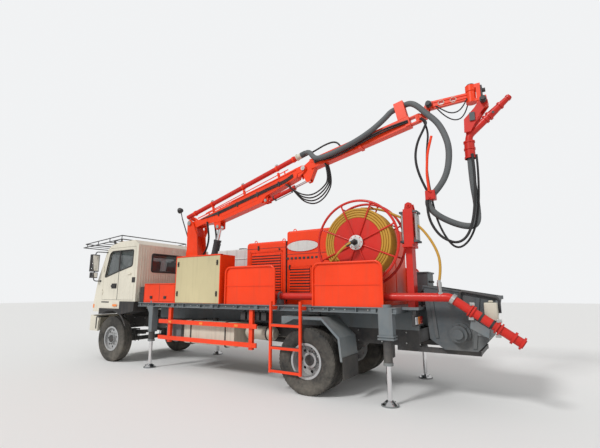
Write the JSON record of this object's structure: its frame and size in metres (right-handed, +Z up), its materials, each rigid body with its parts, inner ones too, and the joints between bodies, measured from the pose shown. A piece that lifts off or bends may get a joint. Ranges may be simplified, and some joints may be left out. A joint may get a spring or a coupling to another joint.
{
  "type": "shotcrete rig",
  "caption": "Two-axle truck carrying a folding, telescopic concrete spraying boom, power pack and compressor hoods, a hose reel, a pump hopper and jacks.",
  "frame": {"origin": "on the road, at the middle of the overall length and on the truck middle plane", "axes": "+X forward, towards the cab, +Y to the left, +Z up"},
  "size_m": [10.2056, 2.65, 5.0558],
  "materials": {
    "orange_steel": "bright orange gloss paint on sheet steel",
    "red_steel": "dark red paint",
    "cab_paint": "cream gloss paint",
    "grey_steel": "mid grey chassis paint",
    "dark_steel": "dark grey and black paint",
    "bare_steel": "bare ground steel",
    "chrome_rod": "hard chromed rod",
    "tyre": "black tyre rubber",
    "rim": "silver grey wheel paint",
    "cab_glass": "tinted window glass",
    "cab_lining": "grey moulded trim and cloth seats",
    "black_plastic": "black moulded plastic",
    "cover_sheet": "beige cover over orange steel",
    "yellow_hose": "yellow ochre rubber hose",
    "grey_hose": "grey rubber hose",
    "tank_steel": "beige painted tank"
  },
  "bodies": {
    "root": {"chassis_frame": "dark_steel", "engine_block": "dark_steel", "front_axle": "dark_steel", "rear_axle": "dark_steel", "front_bumper": "cab_paint", "deck": "grey_steel", "jack_tubes": "dark_steel", "side_lockers": "orange_steel", "side_panels": "orange_steel", "side_rails_and_ladder": "orange_steel", "fuel_tanks": "tank_steel", "rear_mudguards": "grey_steel", "power_pack_hood": "orange_steel", "compressor_hood": "orange_steel", "reel_stand": "red_steel", "pump_unit": "dark_steel", "delivery_pipe": "red_steel", "lead_hose": "yellow_hose"},
    "cab": {"cab_shell": "cab_paint", "cab_glass": "cab_glass", "cab_interior": "cab_lining", "front_fenders": "black_plastic", "mirrors": "black_plastic", "roof_rack": "dark_steel"},
    "reel": {"hose_reel": "red_steel", "hose_coil": "yellow_hose"},
    "turret": {"turret": "orange_steel"},
    "lower_boom": {"boom_lower": "orange_steel"},
    "lift_barrel": {"lift_barrel": "dark_steel"},
    "lift_rod": {"lift_rod": "chrome_rod"},
    "fold_barrel": {"fold_barrel": "red_steel"},
    "fold_rod": {"fold_rod": "chrome_rod"},
    "upper_boom": {"boom_upper": "orange_steel", "boom_hose": "grey_hose"},
    "boom_slide": {"boom_slide": "grey_steel"},
    "wrist": {"boom_wrist": "dark_steel", "nozzle_hose": "grey_hose"},
    "tip_arm": {"tip_arm": "orange_steel"},
    "head": {"spray_head": "orange_steel"},
    "nozzle": {"nozzle": "red_steel"},
    "door_left": {"door_left": "cab_paint", "door_glass_left": "cab_glass"},
    "locker_door_left": {"locker_door_left": "orange_steel"},
    "knuckle_left": {"knuckle_left": "dark_steel"},
    "front_wheel_left": {"front_tyre_left": "tyre", "front_rim_left": "rim"},
    "rear_wheels_left": {"rear_tyres_left": "tyre", "rear_rims_left": "rim"},
    "jack_front_left": {"jack_front_left": "chrome_rod"},
    "jack_rear_left": {"jack_rear_left": "chrome_rod"},
    "door_right": {"door_right": "cab_paint", "door_glass_right": "cab_glass"},
    "locker_door_right": {"locker_door_right": "orange_steel"},
    "knuckle_right": {"knuckle_right": "dark_steel"},
    "front_wheel_right": {"front_tyre_right": "tyre", "front_rim_right": "rim"},
    "rear_wheels_right": {"rear_tyres_right": "tyre", "rear_rims_right": "rim"},
    "jack_front_right": {"jack_front_right": "chrome_rod"},
    "jack_rear_right": {"jack_rear_right": "chrome_rod"}
  },
  "joints": [
    {"name": "steer_left", "type": "hinge", "parent": "root", "child": "knuckle_left", "pos_m": [3.44278, 0.76, 0.51], "axis": [0, 0, 1], "range_deg": [-35, 35]},
    {"name": "front_wheel_left_roll", "type": "hinge", "parent": "knuckle_left", "child": "front_wheel_left", "pos_m": [3.44278, 0.955, 0.51], "axis": [0, 1, 0], "continuous": true},
    {"name": "rear_wheels_left_roll", "type": "hinge", "parent": "root", "child": "rear_wheels_left", "pos_m": [-1.95722, 0.9425, 0.51], "axis": [0, 1, 0], "continuous": true},
    {"name": "door_left_swing", "type": "hinge", "parent": "cab", "child": "door_left", "pos_m": [3.89278, 1.108, 2], "axis": [0, 0, -1], "range_deg": [0, 65]},
    {"name": "locker_door_left_lift", "type": "hinge", "parent": "root", "child": "locker_door_left", "pos_m": [1.74278, 1.108, 1.753], "axis": [1, 0, 0], "range_deg": [0, 90]},
    {"name": "jack_front_left_lift", "type": "slide", "parent": "root", "child": "jack_front_left", "axis": [0, 0, 1], "range_m": [0, 0.4]},
    {"name": "jack_rear_left_lift", "type": "slide", "parent": "root", "child": "jack_rear_left", "axis": [0, 0, 1], "range_m": [0, 0.4]},
    {"name": "steer_right", "type": "hinge", "parent": "root", "child": "knuckle_right", "pos_m": [3.44278, -0.76, 0.51], "axis": [0, 0, 1], "range_deg": [-35, 35]},
    {"name": "front_wheel_right_roll", "type": "hinge", "parent": "knuckle_right", "child": "front_wheel_right", "pos_m": [3.44278, -0.955, 0.51], "axis": [0, 1, 0], "continuous": true},
    {"name": "rear_wheels_right_roll", "type": "hinge", "parent": "root", "child": "rear_wheels_right", "pos_m": [-1.95722, -0.9425, 0.51], "axis": [0, 1, 0], "continuous": true},
    {"name": "door_right_swing", "type": "hinge", "parent": "cab", "child": "door_right", "pos_m": [3.89278, -1.108, 2], "axis": [0, 0, 1], "range_deg": [0, 65]},
    {"name": "locker_door_right_lift", "type": "hinge", "parent": "root", "child": "locker_door_right", "pos_m": [1.74278, -1.108, 1.753], "axis": [-1, 0, 0], "range_deg": [0, 90]},
    {"name": "jack_front_right_lift", "type": "slide", "parent": "root", "child": "jack_front_right", "axis": [0, 0, 1], "range_m": [0, 0.4]},
    {"name": "jack_rear_right_lift", "type": "slide", "parent": "root", "child": "jack_rear_right", "axis": [0, 0, 1], "range_m": [0, 0.4]},
    {"name": "cab_tilt", "type": "hinge", "parent": "root", "child": "cab", "pos_m": [4.14278, 0, 1.07], "axis": [0, 1, 0], "range_deg": [0, 38]},
    {"name": "reel_spin", "type": "hinge", "parent": "root", "child": "reel", "pos_m": [-2.75722, 0.765, 2.365], "axis": [0, 1, 0], "continuous": true, "deforming": ["lead_hose"]},
    {"name": "turret_slew", "type": "hinge", "parent": "root", "child": "turret", "pos_m": [1.76278, 0, 1.501], "axis": [0, 0, 1], "range_deg": [-120, 120]},
    {"name": "boom_lift", "type": "hinge", "parent": "turret", "child": "lower_boom", "pos_m": [2.00278, 0, 3.26], "axis": [0, 1, 0], "range_deg": [-14, 45]},
    {"name": "lift_barrel_turn", "type": "hinge", "parent": "turret", "child": "lift_barrel", "pos_m": [1.44278, 0, 1.7], "axis": [0, 1, 0], "range_deg": [-15, 15]},
    {"name": "lift_rod_slide", "type": "slide", "parent": "lift_barrel", "child": "lift_rod", "axis": [-0.229, 0, 0.9734], "range_m": [-0.45, 0.8]},
    {"name": "boom_fold", "type": "hinge", "parent": "lower_boom", "child": "upper_boom", "pos_m": [-1.25638, 0, 4.12111], "axis": [0, -1, 0], "range_deg": [-5, 40], "deforming": ["boom_hose"]},
    {"name": "fold_barrel_turn", "type": "hinge", "parent": "lower_boom", "child": "fold_barrel", "pos_m": [-0.28584, 0, 3.56266], "axis": [0, 1, 0], "range_deg": [-12, 12]},
    {"name": "fold_rod_slide", "type": "slide", "parent": "fold_barrel", "child": "fold_rod", "axis": [-0.9593, 0, 0.2825], "range_m": [-0.3, 0.3]},
    {"name": "boom_extend", "type": "slide", "parent": "upper_boom", "child": "boom_slide", "axis": [-0.9774, 0, 0.2113], "range_m": [-0.7, 0], "deforming": ["boom_hose"]},
    {"name": "wrist_swing", "type": "hinge", "parent": "boom_slide", "child": "wrist", "pos_m": [-3.63494, 0, 4.66606], "axis": [0.2113, 0, 0.9774], "range_deg": [-70, 70], "deforming": ["nozzle_hose"]},
    {"name": "tip_tilt", "type": "hinge", "parent": "wrist", "child": "tip_arm", "pos_m": [-3.83722, 0, 4.845], "axis": [0, 1, 0], "range_deg": [-30, 45], "deforming": ["nozzle_hose"]},
    {"name": "head_swing", "type": "hinge", "parent": "tip_arm", "child": "head", "pos_m": [-4.51722, 0, 4.845], "axis": [0, 0, 1], "range_deg": [-100, 100], "deforming": ["nozzle_hose"]},
    {"name": "nozzle_tilt", "type": "hinge", "parent": "head", "child": "nozzle", "pos_m": [-4.70222, 0, 4.665], "axis": [0, 1, 0], "range_deg": [-45, 45], "deforming": ["nozzle_hose"]}
  ],
  "couplings": [
    {"joint": "steer_right", "follows": "steer_left", "ratio": 1},
    {"joint": "lift_barrel_turn", "follows": "boom_lift", "ratio": 0.15478},
    {"joint": "lift_rod_slide", "follows": "boom_lift", "m_per_rad": 0.87065},
    {"joint": "fold_barrel_turn", "follows": "boom_fold", "ratio": 0.0659},
    {"joint": "fold_rod_slide", "follows": "boom_fold", "m_per_rad": -0.24829}
  ]
}
